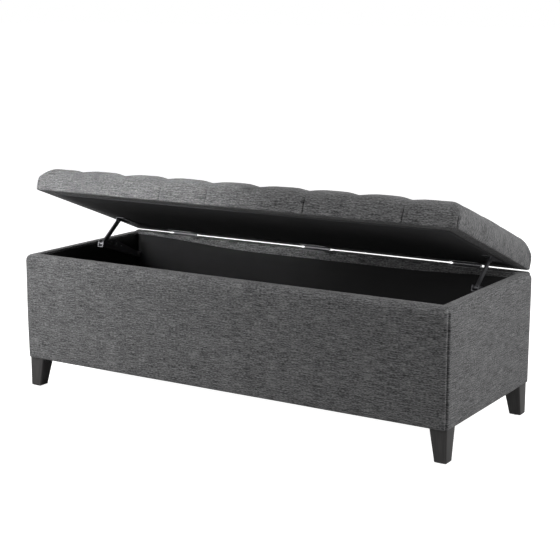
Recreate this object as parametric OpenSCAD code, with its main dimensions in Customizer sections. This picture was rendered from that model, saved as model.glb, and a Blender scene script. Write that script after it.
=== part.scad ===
// Upholstered storage bench: a padded box on four tapered legs, with a padded lid that
// opens on three butt hinges and is held by a folding parallel stay at each end.
// The model stands in its rest pose, with the lid part open.

/* [Box] */
// Width of the box over its fabric
bench_w = 1270; // [1000:5:1500]
// Depth of the box over its fabric
bench_d = 495; // [440:5:560]
// Height of the box's top rim above the floor
rim_z = 370; // [300:5:450]
// Thickness of the plywood side panels
panel_t = 16; // [12:1:19]
// Thickness of the foam pads on the outside of the panels
pad_t = 13; // [8:1:20]
// Rounding of the rim's outer edge
rim_r = 10; // [6:1:12]
// Rounding of the box's upright corners, in plan
corner_r = 15; // [13:1:25]
// Depth of the fabric that turns over the rim and down inside
rim_fold = 22; // [15:1:40]

/* [Legs] */
// Height of the legs
leg_h = 82; // [60:1:120]
// Side of a leg at its top
leg_top = 45; // [38:1:55]
// Side of a leg at its foot
leg_foot = 31; // [22:1:36]
// Distance of a leg from the end of the box
leg_inset_x = 4; // [2:1:20]
// Distance of a leg from the front or the back of the box
leg_inset_y = 9; // [2:1:20]

/* [Lid] */
// Width of the lid
lid_w = 1254; // [1000:2:1500]
// Depth of the lid
lid_d = 482; // [430:1:550]
// Thickness of the padded lid
lid_t = 76; // [60:1:90]
// Rounding of the lid's top edge
lid_edge_r = 30; // [15:1:32]
// Rounding of the lid's corners, in plan
lid_corner_r = 31; // [31:1:45]
// Angle that the lid stands open at rest
lid_rest = 20.6; // [0:0.1:50]

/* [Hinges] */
// Distance of the end hinges from the middle one
hinge_pitch = 453; // [300:1:500]
// Length of a hinge
hinge_len = 80; // [50:2:100]
// Radius of a hinge's knuckle
knuckle_r = 3; // [2.5:0.1:3.2]
// Thickness of a hinge leaf
leaf_t = 1.5; // [1:0.1:1.6]
// Gap that the leaves keep between the closed lid and the rim
lid_gap = 3.8; // [3.6:0.1:6]

/* [Stays] */
// Distance of each stay's middle plane from the middle of the bench
stay_x = 580; // [560:1:585]
// Distance from the hinge pin to the stay's pivot on the lid, along the lid
stay_reach = 162; // [140:1:180]
// Width of the lower arm, a folded channel
channel_w = 18; // [14:1:20]
// Thickness of the upper arm
arm_t = 5; // [3:1:6]

/* [Hidden] */
$fn = 48;
seam_gap = 0.3;
run_gap = 0.05;
fit_gap = 0.02;
cover_t = 2;
lining_t = 1.5;
rail_t = 18;
rail_w = 60;
floor_t = 5;
base_z = leg_h + cover_t;
floor_z = base_z + rail_t;
half_w = bench_w / 2;
half_d = bench_d / 2;
frame_w = bench_w - 2 * (cover_t + pad_t);
frame_d = bench_d - 2 * (cover_t + pad_t);
inner_w = frame_w - 2 * panel_t;
inner_d = frame_d - 2 * panel_t;
panel_top = rim_z - cover_t;
base_fold = 20;
bottom_cover_t = 1;

// hinge line: the knuckles lie along X just behind the box, midway up the gap under the lid
pin_r = 1.5;
pin_gap = 0.4;
pin_y = half_d + knuckle_r + pin_gap;
pin_z = rim_z + lid_gap / 2;
lid_z = rim_z + lid_gap;
leaf_front = frame_d / 2 - panel_t + seam_gap;
leaf_screw_edge = 8;
leaf_screw_y = leaf_front + leaf_screw_edge;
leaf_screw_pitch = 28;
hinge_xs = [-hinge_pitch, 0, hinge_pitch];
knuckles = 5;
knuckle_len = hinge_len / knuckles;

// lid, described closed and then turned about the pin
lid_back = half_d;
lid_mid_y = lid_back - lid_d / 2;
lid_cover_t = 2;
board_t = 15;
board_inset = 8;
board_corner_r = 20;
lid_fold = 34;
lid_under_fold = 40;
lid_foam_r = lid_edge_r - lid_cover_t;

// stays: pin, lid pivot, elbow and base pivot are the corners of a parallelogram
stay_link = [75, 57.5];
lid_pivot_drop = 9.8;
lid_pivot_shut = [pin_y - stay_reach, lid_z - lid_pivot_drop];
base_pivot = [pin_y, pin_z] - stay_link;
lid_pivot = turned(lid_pivot_shut);
elbow = lid_pivot - stay_link;
channel_t = 1.5;
channel_below = 9.5;
channel_above = 6;
channel_end = 9;
rivet_r = 2.5;
lid_rivet_r = 2;
lid_eye_r = 2.3;
rivet_head_r = 4.5;
rivet_head_t = 1.5;
arm_r = 6;
bracket_t = 2;
bracket_r = 10;
bracket_x = inner_w / 2 - lining_t;
// ends of the wall bracket, ahead of the pin and below the rim, and its middle screw's share of the way
bracket_front_at = [142, 20];
bracket_back_at = [60, 61];
bracket_mid_share = 0.27;
bracket_front = [pin_y, rim_z] - bracket_front_at;
bracket_back = [pin_y, rim_z] - bracket_back_at;
bracket_mid = bracket_front + bracket_mid_share * (bracket_back - bracket_front);
boss_r = 7;
lid_plate_t = 1.5;
lid_plate_w = 25;
lid_plate_run = 70;
lid_plate_screw_edge = 8;
lid_plate_screw_pitch = 20;
lid_plate_z = lid_z - bottom_cover_t - lid_plate_t;
ear_x = stay_x + arm_t / 2 + 0.4;

// countersunk wood screws
screw_r = 1.8;
screw_head_r = 3.4;
screw_head_h = 1.5;
hinge_screw_len = 16;
wall_screw_len = 14;
lid_plate_screw_len = 15;
base_screw_len = 40;
frame_screw_r = 2;
frame_screw_len = 48;
frame_screw_zs = [floor_z + 40, floor_z + 130, floor_z + 220];
base_screw_xs = [-520, -260, 0, 260, 520];
base_screw_y = 100;

// legs: a square post whose two inner faces lean in towards the foot
leg_x = half_w - leg_inset_x - leg_top / 2;
leg_y = half_d - leg_inset_y - leg_top / 2;
glide_t = 2;
glide_r = 10;
glide_pin_r = 1.5;
glide_pin_len = 11;
foot_shift = (leg_top - leg_foot) / 2;
leg_bolt_r = 4;
leg_bolt_depth = 32;
leg_bolt_grip = 13;
leg_bolt_low = leg_h - leg_bolt_depth;
leg_bolt_high = base_z + leg_bolt_grip;
insert_r = 6.5;
insert_h = 14;

// the whole model is moved so that its bounding box is centred on the origin
lid_top_back = turned([lid_back - lid_edge_r, lid_z + lid_t - lid_edge_r])[0] + lid_edge_r;
y_shift = -(lid_top_back - half_d) / 2;

ENDS = [-1, 1];

// a point [y, z] of the closed lid, after the lid has turned about the pin
function turned(p) = [
    pin_y + (p[0] - pin_y) * cos(lid_rest) + (p[1] - pin_z) * sin(lid_rest),
    pin_z - (p[0] - pin_y) * sin(lid_rest) + (p[1] - pin_z) * cos(lid_rest)
];

module placed() {
    translate([0, y_shift, 0]) children();
}

module on_lid() {
    placed()
        translate([0, pin_y, pin_z]) rotate([-lid_rest, 0, 0]) translate([0, -pin_y, -pin_z])
            children();
}

// draws the right-hand thing as it is, or its mirror image for the left
module on_side(end) {
    mirror([end < 0 ? 1 : 0, 0, 0]) children();
}

module at_corners(x, y) {
    for (i = ENDS, j = ENDS) translate([i * x, j * y, 0]) children();
}

// a flat shape given in [y, z], made into a plate from x0 to x1
module side_plate(x0, x1) {
    translate([x0, 0, 0]) rotate([90, 0, 90]) linear_extrude(x1 - x0) children();
}

module side_pin(p, r, x0, x1) {
    translate([x0, p[0], p[1]]) rotate([0, 90, 0]) cylinder(r = r, h = x1 - x0);
}

// two discs and the bar between them
module capsule(a, b, r) {
    run = b - a;
    translate(a) circle(r);
    translate(b) circle(r);
    translate(a) rotate(atan2(run[1], run[0])) translate([0, -r]) square([norm(run), 2 * r]);
}

// a screw that points down, with its head's flat face at the origin; grow widens it for a hole
module screw(length, r = screw_r, grow = 0) {
    translate([0, 0, -length]) cylinder(r = r + grow, h = length);
    translate([0, 0, -screw_head_h])
        cylinder(r1 = r + grow, r2 = screw_head_r * r / screw_r + grow, h = screw_head_h);
}

// half a section through a block whose top edge is rounded
module half_section(r, h, edge_r) {
    square([r, h - edge_r]);
    square([r - edge_r, h]);
    intersection() {
        translate([r - edge_r, h - edge_r]) circle(edge_r);
        square([r, h]);
    }
}

module section(w, h, edge_r) {
    half_section(w / 2, h, edge_r);
    mirror([1, 0]) half_section(w / 2, h, edge_r);
}

// an upholstered block: upright corners of radius plan_r and a top edge of radius edge_r
module soft_block(w, d, h, plan_r, edge_r) {
    at_corners(w / 2 - plan_r, d / 2 - plan_r) rotate_extrude() half_section(plan_r, h, edge_r);
    translate([plan_r - w / 2, 0, 0]) rotate([90, 0, 90])
        linear_extrude(w - 2 * plan_r) section(d, h, edge_r);
    translate([0, d / 2 - plan_r, 0]) rotate([90, 0, 0])
        linear_extrude(d - 2 * plan_r) section(w, h, edge_r);
}

module block(x0, x1, y0, y1, z0, z1) {
    translate([x0, y0, z0]) cube([x1 - x0, y1 - y0, z1 - z0]);
}

// centred in plan, standing on z0
module slab(w, d, z0, z1) {
    block(-w / 2, w / 2, -d / 2, d / 2, z0, z1);
}

/* ---- base and panels ---- */

module base_screw_places() {
    for (x = base_screw_xs, j = ENDS) translate([x, j * (frame_d - panel_t) / 2, base_z]) children();
    for (i = ENDS, j = ENDS)
        translate([i * (frame_w - panel_t) / 2, j * base_screw_y, base_z]) children();
}

module frame_screw_places() {
    for (i = ENDS, j = ENDS, z = frame_screw_zs)
        translate([i * (frame_w - panel_t) / 2, j * frame_d / 2, z]) rotate([-90 * j, 0, 0]) children();
}

module base_screw_holes() {
    base_screw_places() mirror([0, 0, 1]) screw(base_screw_len, grow = fit_gap);
}

module frame_screw_holes() {
    frame_screw_places() screw(frame_screw_len, frame_screw_r, fit_gap);
}

module front_base_rail() long_base_rail(-1);
module rear_base_rail() long_base_rail(1);
module left_base_rail() short_base_rail(-1);
module right_base_rail() short_base_rail(1);

module long_base_rail(j) {
    color("burlywood") placed() difference() {
        translate([0, j * (frame_d - rail_w) / 2, 0]) slab(frame_w, rail_w, base_z, floor_z);
        base_screw_holes();
        leg_insert_holes();
    }
}

module short_base_rail(i) {
    color("burlywood") placed() difference() {
        translate([i * (frame_w - rail_w) / 2, 0, 0])
            slab(rail_w, frame_d - 2 * rail_w, base_z, floor_z);
        base_screw_holes();
    }
}

module centre_batten() {
    color("burlywood") placed() slab(rail_w, frame_d - 2 * rail_w, base_z, floor_z);
}

module floor_panel() {
    color("tan") placed() slab(inner_w, inner_d, floor_z, floor_z + floor_t);
}

module front_panel() long_panel(-1);
module rear_panel() long_panel(1);

module long_panel(j) {
    color("burlywood") placed() difference() {
        translate([0, j * (frame_d - panel_t) / 2, 0]) slab(frame_w, panel_t, floor_z, panel_top);
        base_screw_holes();
        frame_screw_holes();
        hinge_box_screw_places() screw(hinge_screw_len, grow = fit_gap);
    }
}

module left_panel() end_panel(-1);
module right_panel() end_panel(1);

module end_panel(i) {
    color("burlywood") placed() difference() {
        translate([i * (frame_w - panel_t) / 2, 0, 0]) slab(panel_t, inner_d, floor_z, panel_top);
        base_screw_holes();
        frame_screw_holes();
        wall_screw_places() screw(wall_screw_len, grow = fit_gap);
    }
}

module base_screws() {
    color("silver") placed() base_screw_places() mirror([0, 0, 1]) screw(base_screw_len);
}

module frame_screws() {
    color("silver") placed() frame_screw_places() screw(frame_screw_len, frame_screw_r);
}

/* ---- padding and fabric of the box ---- */

module box_soft_block(inset, z0) {
    translate([0, 0, z0])
        soft_block(bench_w - 2 * inset, bench_d - 2 * inset, rim_z - inset - z0,
            corner_r - inset, rim_r - inset);
}

module padding() {
    difference() {
        box_soft_block(cover_t, base_z);
        slab(frame_w, frame_d, 0, rim_z);
    }
}

module front_pad() long_pad(-1);
module rear_pad() long_pad(1);

module long_pad(j) {
    color("khaki") placed() intersection() {
        padding();
        translate([0, j * bench_d / 2, 0]) slab(bench_w, 2 * (cover_t + pad_t), 0, rim_z);
    }
}

module left_pad() end_pad(-1);
module right_pad() end_pad(1);

module end_pad(i) {
    color("khaki") placed() intersection() {
        padding();
        translate([i * bench_w / 2, 0, 0]) slab(2 * (cover_t + pad_t), frame_d, 0, rim_z);
    }
}

module box_cover() {
    color("dimgray") placed() difference() {
        box_soft_block(0, leg_h);
        box_soft_block_hollow();
        slab(inner_w - 2 * lining_t, inner_d - 2 * lining_t, base_z, rim_z + 1);
        slab(inner_w, inner_d, 0, rim_z - rim_fold);
        slab(frame_w - 2 * base_fold, frame_d - 2 * base_fold, 0, base_z + 1);
        hinge_box_screw_places() screw(hinge_screw_len, grow = fit_gap);
        wall_screw_places() screw(wall_screw_len, grow = fit_gap);
        at_corners(leg_x, leg_y) cylinder(r = leg_bolt_r + fit_gap, h = base_z + 1);
    }
}

// everything inside the cover, short of the band that turns down inside the rim
module box_soft_block_hollow() {
    difference() {
        box_soft_block(cover_t, base_z);
        slab(inner_w, inner_d, rim_z - rim_fold, rim_z);
    }
}

module box_lining() {
    color([0.1, 0.1, 0.1]) placed() difference() {
        slab(inner_w, inner_d, floor_z + floor_t, rim_z - rim_fold);
        slab(inner_w - 2 * lining_t, inner_d - 2 * lining_t, floor_z + floor_t + lining_t, rim_z);
        wall_screw_places() screw(wall_screw_len, grow = fit_gap);
    }
}

module base_dust_cover() {
    color([0.1, 0.1, 0.1]) placed()
        slab(frame_w - 2 * base_fold, frame_d - 2 * base_fold, base_z - bottom_cover_t, base_z);
}

/* ---- legs ---- */

// the leg's two outer faces are upright; its inner faces run from leg_top to leg_foot
module leg_profile() {
    half = leg_top / 2;
    polygon([[half, glide_t], [half, leg_h], [-half, leg_h], [half - leg_foot, glide_t]]);
}

module leg(i, j) {
    color([0.12, 0.11, 0.11]) placed() translate([i * leg_x, j * leg_y, 0]) difference() {
        mirror([i < 0 ? 1 : 0, 0, 0]) mirror([0, j < 0 ? 1 : 0, 0]) intersection() {
            translate([0, leg_top / 2, 0]) rotate([90, 0, 0]) linear_extrude(leg_top) leg_profile();
            translate([-leg_top / 2, 0, 0]) rotate([90, 0, 90]) linear_extrude(leg_top) leg_profile();
        }
        translate([0, 0, leg_bolt_low]) cylinder(r = leg_bolt_r + fit_gap, h = leg_h);
        translate([i * foot_shift, j * foot_shift, 0])
            cylinder(r = glide_pin_r + fit_gap, h = glide_t + glide_pin_len + 1);
    }
}

module front_left_leg() leg(-1, -1);
module front_right_leg() leg(1, -1);
module rear_left_leg() leg(-1, 1);
module rear_right_leg() leg(1, 1);

module leg_bolts() {
    color("silver") placed() at_corners(leg_x, leg_y)
        translate([0, 0, leg_bolt_low]) cylinder(r = leg_bolt_r, h = leg_bolt_high - leg_bolt_low);
}

module leg_insert_holes() {
    at_corners(leg_x, leg_y)
        translate([0, 0, base_z - 1]) cylinder(r = insert_r + fit_gap, h = insert_h + 1);
}

module leg_inserts() {
    color("goldenrod") placed() at_corners(leg_x, leg_y) translate([0, 0, base_z]) difference() {
        cylinder(r = insert_r, h = insert_h);
        translate([0, 0, -1]) cylinder(r = leg_bolt_r + fit_gap, h = insert_h + 2);
    }
}

module leg_glides() {
    color("black") placed() for (i = ENDS, j = ENDS)
        translate([i * (leg_x + foot_shift), j * (leg_y + foot_shift), 0]) {
            cylinder(r = glide_r, h = glide_t);
            cylinder(r = glide_pin_r, h = glide_t + glide_pin_len);
        }
}

/* ---- lid, drawn closed and turned by on_lid ---- */

module lid_block(inset, z0, edge_r) {
    translate([0, lid_mid_y, z0])
        soft_block(lid_w - 2 * inset, lid_d - 2 * inset, lid_z + lid_t - inset - z0,
            lid_corner_r - inset, edge_r);
}

module lid_slab(inset, z0, z1) {
    translate([0, lid_mid_y, 0]) slab(lid_w - 2 * inset, lid_d - 2 * inset, z0, z1);
}

module lid_screw_holes() {
    hinge_lid_screw_places() screw(hinge_screw_len, grow = fit_gap);
    lid_bracket_screw_places() screw(lid_plate_screw_len, grow = fit_gap);
}

// the board's outline, upright from z0 to z1, with rounded corners that clear the cover's
module board_block(z0, z1) {
    translate([0, lid_mid_y, z0]) linear_extrude(z1 - z0) {
        for (inset = [[0, board_corner_r], [board_corner_r, 0]])
            square([lid_w - 2 * (board_inset + inset[0]), lid_d - 2 * (board_inset + inset[1])],
                center = true);
        for (i = ENDS, j = ENDS)
            translate([i * (lid_w / 2 - board_inset - board_corner_r),
                j * (lid_d / 2 - board_inset - board_corner_r)]) circle(board_corner_r);
    }
}

module lid_board() {
    color("burlywood") on_lid() difference() {
        board_block(lid_z + lid_cover_t, lid_z + lid_cover_t + board_t);
        lid_screw_holes();
    }
}

module lid_foam() {
    color("khaki") on_lid() difference() {
        lid_block(lid_cover_t, lid_z + lid_cover_t, lid_foam_r);
        board_block(0, lid_z + lid_cover_t + board_t);
    }
}

module lid_cover() {
    color("dimgray") on_lid() difference() {
        lid_block(0, lid_z, lid_edge_r);
        lid_block(lid_cover_t, lid_z + lid_cover_t, lid_foam_r);
        lid_slab(lid_under_fold, 0, lid_z + lid_cover_t + 1);
        lid_screw_holes();
    }
}

module lid_dust_cover() {
    color([0.1, 0.1, 0.1]) on_lid() difference() {
        lid_slab(lid_fold, lid_z - bottom_cover_t, lid_z);
        lid_screw_holes();
    }
}

/* ---- hinges ---- */

module hinge_box_screw_places() {
    for (x = hinge_xs, k = [-1:1])
        translate([x + k * leaf_screw_pitch, leaf_screw_y, rim_z + leaf_t]) children();
}

module hinge_lid_screw_places() {
    for (x = hinge_xs, k = [-1:1])
        translate([x + k * leaf_screw_pitch, leaf_screw_y, lid_z - leaf_t])
            mirror([0, 0, 1]) children();
}

// a leaf carries every second knuckle, beginning with the one numbered first
module hinge_leaf(x, z, first) {
    edge = pin_y - knuckle_r - pin_gap;
    difference() {
        union() {
            block(x - hinge_len / 2, x + hinge_len / 2, leaf_front, edge, z, z + leaf_t);
            for (k = [first:2:knuckles - 1]) {
                x0 = x - hinge_len / 2 + k * knuckle_len + pin_gap / 2;
                x1 = x0 + knuckle_len - pin_gap;
                block(x0, x1, edge - 1, pin_y, z, z + leaf_t);
                side_pin([pin_y, pin_z], knuckle_r, x0, x1);
            }
        }
        side_pin([pin_y, pin_z], pin_r + run_gap, x - hinge_len, x + hinge_len);
        hinge_box_screw_places() screw(hinge_screw_len, grow = fit_gap);
        hinge_lid_screw_places() screw(hinge_screw_len, grow = fit_gap);
    }
}

module hinge_box_leaf(n) {
    color("silver") placed() hinge_leaf(hinge_xs[n], rim_z, 0);
}

module hinge_lid_leaf(n) {
    color("silver") on_lid() hinge_leaf(hinge_xs[n], lid_z - leaf_t, 1);
}

module hinge_pins() {
    color("gray") placed() for (x = hinge_xs)
        side_pin([pin_y, pin_z], pin_r, x - hinge_len / 2, x + hinge_len / 2);
}

module hinge_box_screws() {
    color("gray") placed() hinge_box_screw_places() screw(hinge_screw_len);
}

module hinge_lid_screws() {
    color("gray") on_lid() hinge_lid_screw_places() screw(hinge_screw_len);
}

/* ---- stays ---- */

module wall_screw_places() {
    for (i = ENDS) on_side(i) for (p = [bracket_front, bracket_mid, bracket_back])
        translate([bracket_x - bracket_t, p[0], p[1]]) rotate([0, -90, 0]) children();
}

module lid_bracket_screw_places() {
    x = ear_x + bracket_t - lid_plate_w + lid_plate_screw_edge;
    for (i = ENDS) on_side(i) for (n = [1:3])
        translate([x, lid_pivot_shut[0] + n * lid_plate_screw_pitch, lid_plate_z])
            mirror([0, 0, 1]) children();
}

module wall_bracket(i) {
    flange_x = stay_x + channel_w / 2;
    color("silver") placed() on_side(i) difference() {
        union() {
            side_plate(bracket_x - bracket_t, bracket_x) capsule(bracket_front, bracket_back, bracket_r);
            side_pin(base_pivot, boss_r, flange_x + seam_gap, bracket_x);
        }
        side_pin(base_pivot, rivet_r + fit_gap, flange_x, bracket_x + 1);
        wall_screw_places() screw(wall_screw_len, grow = fit_gap);
    }
}

module stay_wall_screws() {
    color("gray") placed() wall_screw_places() screw(wall_screw_len);
}

module stay_base_rivets() {
    head_x = stay_x - channel_w / 2 - seam_gap;
    color("gray") placed() for (i = ENDS) on_side(i) {
        side_pin(base_pivot, rivet_r, head_x - rivet_head_t, bracket_x);
        side_pin(base_pivot, rivet_head_r, head_x - rivet_head_t, head_x);
    }
}

// outline of the lower arm from its elbow (origin) along to its base pivot, seen from the end
module arm_outline(length) {
    translate([-channel_end, -channel_below])
        square([length + 2 * channel_end, channel_below + channel_above]);
}

module lower_arm(i) {
    run = base_pivot - elbow;
    length = norm(run);
    color("silver") placed() on_side(i) difference() {
        translate([0, elbow[0], elbow[1]]) rotate([atan2(run[1], run[0]), 0, 0]) difference() {
            side_plate(stay_x - channel_w / 2, stay_x + channel_w / 2) arm_outline(length);
            block(stay_x - channel_w / 2 + channel_t, stay_x + channel_w / 2 - channel_t,
                -channel_end - 1, length + channel_end + 1,
                channel_t - channel_below, channel_above + 1);
        }
        side_pin(elbow, rivet_r + fit_gap, 0, half_w);
        side_pin(base_pivot, rivet_r + run_gap, 0, half_w);
    }
}

module elbow_rivet(i) {
    x0 = stay_x - channel_w / 2;
    x1 = stay_x + channel_w / 2;
    color("gray") placed() on_side(i) {
        side_pin(elbow, rivet_r, x0 - rivet_head_t, x1 + rivet_head_t);
        side_pin(elbow, rivet_head_r, x0 - rivet_head_t, x0);
        side_pin(elbow, rivet_head_r, x1, x1 + rivet_head_t);
    }
}

module upper_arm(i) {
    boss_w = channel_w - 2 * channel_t - 2 * seam_gap;
    color("silver") placed() on_side(i) difference() {
        union() {
            side_plate(stay_x - arm_t / 2, stay_x + arm_t / 2) capsule(elbow, lid_pivot, arm_r);
            side_pin(elbow, arm_r, stay_x - boss_w / 2, stay_x + boss_w / 2);
        }
        side_pin(elbow, rivet_r + run_gap, 0, half_w);
        side_pin(lid_pivot, lid_eye_r, 0, half_w);
    }
}

module stay_lid_rivets() {
    x0 = stay_x - arm_t / 2 - seam_gap;
    x1 = ear_x + bracket_t;
    color("gray") placed() for (i = ENDS) on_side(i) {
        side_pin(lid_pivot, lid_rivet_r, x0 - rivet_head_t, x1 + rivet_head_t);
        side_pin(lid_pivot, rivet_head_r, x0 - rivet_head_t, x0);
        side_pin(lid_pivot, rivet_head_r, x1, x1 + rivet_head_t);
    }
}

module lid_bracket(i) {
    top = lid_plate_z + lid_plate_t;
    y0 = lid_pivot_shut[0] - boss_r;
    y1 = lid_pivot_shut[0] + lid_plate_run;
    color("silver") on_lid() on_side(i) difference() {
        union() {
            block(ear_x + bracket_t - lid_plate_w, ear_x + bracket_t, y0, y1, lid_plate_z, top);
            side_plate(ear_x, ear_x + bracket_t) {
                translate(lid_pivot_shut) circle(boss_r);
                polygon([[y0, lid_pivot_shut[1]], [y0, top], [y1, top], [y1, lid_plate_z],
                    [lid_pivot_shut[0] + boss_r, lid_pivot_shut[1]]]);
            }
        }
        side_pin(lid_pivot_shut, lid_rivet_r + fit_gap, 0, half_w);
        lid_bracket_screw_places() screw(lid_plate_screw_len, grow = fit_gap);
    }
}

module stay_lid_screws() {
    color("gray") on_lid() lid_bracket_screw_places() screw(lid_plate_screw_len);
}

/* ---- what is drawn ---- */
front_base_rail();
rear_base_rail();
left_base_rail();
right_base_rail();
centre_batten();
floor_panel();
front_panel();
rear_panel();
left_panel();
right_panel();
base_screws();
frame_screws();
front_pad();
rear_pad();
left_pad();
right_pad();
box_cover();
box_lining();
base_dust_cover();
front_left_leg();
front_right_leg();
rear_left_leg();
rear_right_leg();
leg_bolts();
leg_inserts();
leg_glides();
lid_board();
lid_foam();
lid_cover();
lid_dust_cover();
hinge_box_leaf(0);  // left_hinge_box_leaf
hinge_box_leaf(1);  // centre_hinge_box_leaf
hinge_box_leaf(2);  // right_hinge_box_leaf
hinge_lid_leaf(0);  // left_hinge_lid_leaf
hinge_lid_leaf(1);  // centre_hinge_lid_leaf
hinge_lid_leaf(2);  // right_hinge_lid_leaf
hinge_pins();
hinge_box_screws();
hinge_lid_screws();
wall_bracket(-1);  // left_wall_bracket
wall_bracket(1);  // right_wall_bracket
stay_wall_screws();
stay_base_rivets();
lower_arm(-1);  // left_lower_arm
lower_arm(1);  // right_lower_arm
elbow_rivet(-1);  // left_elbow_rivet
elbow_rivet(1);  // right_elbow_rivet
upper_arm(-1);  // left_upper_arm
upper_arm(1);  // right_upper_arm
stay_lid_rivets();
lid_bracket(-1);  // left_lid_bracket
lid_bracket(1);  // right_lid_bracket
stay_lid_screws();
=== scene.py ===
import math

import bmesh
import bpy
import numpy as np
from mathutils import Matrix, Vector


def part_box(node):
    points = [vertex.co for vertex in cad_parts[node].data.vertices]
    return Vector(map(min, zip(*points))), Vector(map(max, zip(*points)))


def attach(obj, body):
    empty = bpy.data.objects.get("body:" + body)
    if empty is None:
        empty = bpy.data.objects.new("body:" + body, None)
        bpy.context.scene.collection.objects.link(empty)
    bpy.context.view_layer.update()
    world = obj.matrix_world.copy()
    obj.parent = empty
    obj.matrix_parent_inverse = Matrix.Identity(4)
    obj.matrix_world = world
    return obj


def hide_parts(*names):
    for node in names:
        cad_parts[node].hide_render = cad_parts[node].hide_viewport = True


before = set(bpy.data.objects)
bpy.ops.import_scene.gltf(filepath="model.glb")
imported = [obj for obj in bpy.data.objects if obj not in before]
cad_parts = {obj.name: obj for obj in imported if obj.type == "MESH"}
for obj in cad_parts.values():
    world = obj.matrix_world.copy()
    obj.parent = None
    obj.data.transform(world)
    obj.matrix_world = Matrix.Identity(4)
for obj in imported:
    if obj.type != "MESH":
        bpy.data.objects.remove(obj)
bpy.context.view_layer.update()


# ---------------------------------------------------------------------------------------------
# Box cover: one woven charcoal cloth, sewn at the four upright corners, pulled over the foam
# pads, turned over the rim and stapled inside, and turned in under the base.

box_low, box_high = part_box("box_cover")
BOX_HALF = np.array([box_high.x - box_low.x, box_high.y - box_low.y]) / 2
BOX_MID_Y = (box_low.y + box_high.y) / 2
RIM_Z, BOX_FOOT_Z = box_high.z, box_low.z
WALL = 0.0325  # from the cover's outer face to its inner one
RIM_FOLD = 0.022  # turned down inside the box
BASE_FOLD = 0.038  # turned in under the base
FOLD_HANG = 0.0002
BOX_CORNER_R = 0.015
RIM_OUT_R, REAR_RIM_R, RIM_IN_R, HEM_R = 0.018, 0.003, 0.004, 0.006
RIM_DROP = 0.0004  # the rim is drawn this much low, and then puffs up
LINING_LAP = 0.008  # hidden behind the lining's upper edge
CLOTH_T = 0.0012
FACE_SWELL, FACE_UNEVEN = 0.0024, 0.0008
SEAM_DEPTH, SEAM_RIDGE = 0.0034, 0.0011
RIM_CROWN = 0.0008
HINGES = ("left", "centre", "right")
HINGE_XS = [sum(corner.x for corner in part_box(f"{name}_hinge_box_leaf")) / 2 for name in HINGES]
HINGE_LEN, HINGE_FADE = 0.080, 0.008


def ring(half, radius, edge_steps, arc_steps):
    """Stations round a rounded rectangle, from the middle of its back, clockwise from above.

    Each quarter is a straight run and an arc: corner centre + radius * (sin a, cos a).
    Gives x, y, the outward direction, and the signed distance from the nearest corner's middle.
    """
    quarters = []
    for turn in range(4):
        along, across = (half[0], half[1]) if turn % 2 == 0 else (half[1], half[0])
        steps = edge_steps[turn % 2]
        run = np.linspace(-(along - radius), along - radius, steps, endpoint=False)
        straight = np.stack([run, np.full(steps, across)], -1)
        angle = np.linspace(0, np.pi / 2, arc_steps, endpoint=False)
        turned = np.stack([np.sin(angle), np.cos(angle)], -1)
        bend = np.array([along - radius, across - radius]) + radius * turned
        outward = np.concatenate([np.tile([0.0, 1.0], (steps, 1)), turned])
        seam = np.concatenate([
            np.where(run > 0, run - (along - radius), -run - (along - radius)) - radius * np.pi / 4,
            radius * (angle - np.pi / 4),
        ])
        c, s = np.cos(-turn * np.pi / 2), np.sin(-turn * np.pi / 2)
        spin = np.array([[c, s], [-s, c]])
        quarters.append((np.concatenate([straight, bend]) @ spin, outward @ spin, seam))
    points, outward, seam = (np.concatenate(parts) for parts in zip(*quarters))
    return (np.concatenate([a, a[:1]]) for a in (points, outward, seam))


def cloth_mesh(name, patches):
    """A mesh of quads over patches, each points [row, column, xyz] and cloth lengths [row, column, uv].

    Shared edges are merged, and the faces are turned to point outwards.
    """
    points, lengths, quads, start = [], [], [], 0
    for xyz, uv in patches:
        rows, columns = xyz.shape[:2]
        index = np.arange(rows * columns).reshape(rows, columns) + start
        corners = (index[:-1, :-1], index[:-1, 1:], index[1:, 1:], index[1:, :-1])
        quads.append(np.stack(corners, -1).reshape(-1, 4))
        points.append(xyz.reshape(-1, 3))
        lengths.append(uv.reshape(-1, 2))
        start += rows * columns
    quads = np.concatenate(quads)
    mesh = bpy.data.meshes.new(name)
    mesh.from_pydata(np.concatenate(points), [], quads.tolist())
    mesh.uv_layers.new(name="cloth").data.foreach_set("uv", np.concatenate(lengths)[quads.ravel()].ravel())
    work = bmesh.new()
    work.from_mesh(mesh)
    bmesh.ops.remove_doubles(work, verts=work.verts, dist=1e-6)
    bmesh.ops.recalc_face_normals(work, faces=work.faces)
    work.to_mesh(mesh)
    work.free()
    mesh.shade_smooth()
    piece = bpy.data.objects.new(name, mesh)
    bpy.context.scene.collection.objects.link(piece)
    return piece


def arc(centre, radius, from_deg, to_deg, steps):
    """Points centre + radius * (cos a, sin a) as a goes from one angle to the other."""
    a = np.radians(np.linspace(from_deg, to_deg, steps))
    return np.stack([centre[0] + radius * np.cos(a), centre[1] + radius * np.sin(a)], -1)


def line(start, end, steps):
    """Points spaced evenly between two ends, both left out."""
    share = np.linspace(0, 1, steps + 2)[1:-1, None]
    return np.array(start) * (1 - share) + np.array(end) * share


def run_length(profile):
    """Distance along a profile at each of its points."""
    return np.concatenate([[0], np.cumsum(np.linalg.norm(np.diff(profile, axis=0), axis=1))])


def ripple(a, b, seed, waves=5):
    """A soft uneven field from -1 to 1: the mean of sines of random direction and phase."""
    rng = np.random.default_rng(seed)
    total = np.zeros(np.broadcast(a, b).shape)
    for _ in range(waves):
        ka, kb, phase = rng.uniform(4, 22), rng.uniform(4, 22), rng.uniform(0, 6.28)
        total += np.sin(ka * a * rng.choice([-1, 1]) + kb * b + phase)
    return total / waves


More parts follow.
